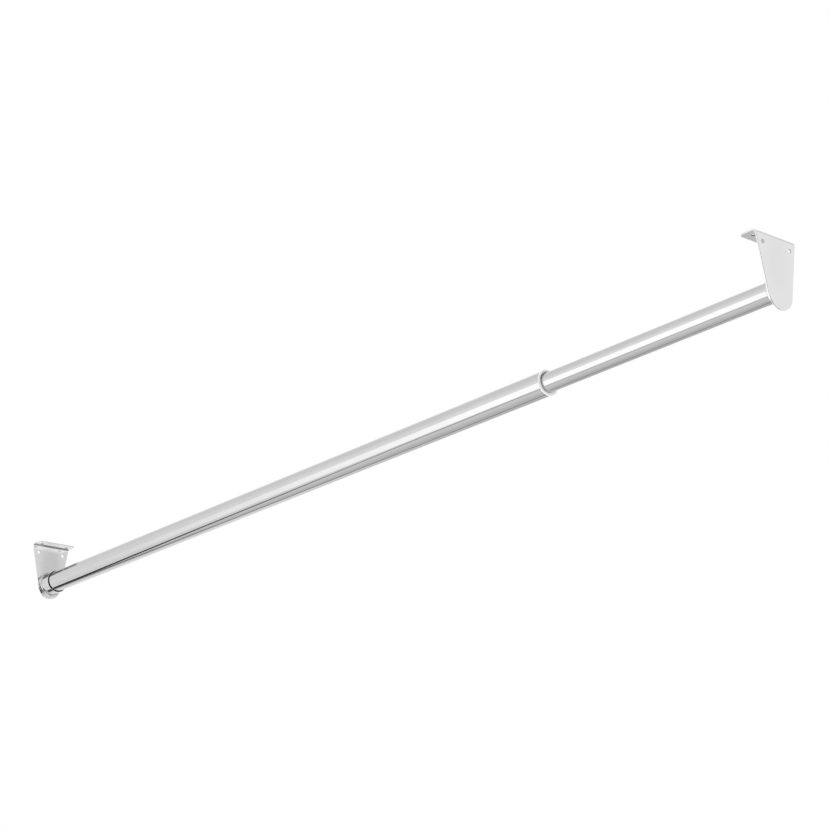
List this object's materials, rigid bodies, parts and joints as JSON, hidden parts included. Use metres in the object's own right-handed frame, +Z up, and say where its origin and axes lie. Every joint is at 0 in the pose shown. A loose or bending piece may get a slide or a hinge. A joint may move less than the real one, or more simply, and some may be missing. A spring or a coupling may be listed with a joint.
{
  "type": "telescopic closet rod",
  "caption": "Telescopic hanging rod of sliding round steel tubes between angle brackets that fasten to walls or under a shelf.",
  "frame": {"origin": "on the rod's axis at the outer face of the left bracket", "axes": "+X along the rod from the left bracket to the right one, +Z up towards the shelf flanges, +Y across the rod"},
  "size_m": [1.59, 0.068, 0.0908],
  "materials": {
    "tube_chrome": "polished chrome plating on drawn steel tube",
    "bracket_plating": "bright plated pressed sheet steel",
    "socket_plating": "polished plating on drawn steel",
    "ring_plastic": "moulded pale nylon, satin gloss",
    "liner_nylon": "moulded natural nylon"
  },
  "bodies": {
    "left_end": {"left_bracket": "bracket_plating", "left_socket": "socket_plating", "left_liner": "liner_nylon"},
    "outer_rod": {"outer_tube": "tube_chrome", "end_ring": "ring_plastic"},
    "inner_rod": {"inner_tube": "tube_chrome", "glide": "liner_nylon", "right_sleeve": "ring_plastic"},
    "right_end": {"right_spigot": "socket_plating", "right_bracket": "bracket_plating"}
  },
  "joints": [
    {"name": "rod_turn", "type": "hinge", "parent": "left_end", "child": "outer_rod", "pos_m": [0.0034, 0, 0], "axis": [1, 0, 0], "continuous": true},
    {"name": "extend", "type": "slide", "parent": "outer_rod", "child": "inner_rod", "axis": [1, 0, 0], "range_m": [-0.371, 0.239]},
    {"name": "bracket_turn", "type": "hinge", "parent": "inner_rod", "child": "right_end", "pos_m": [1.588, 0, 0], "axis": [1, 0, 0], "continuous": true}
  ]
}
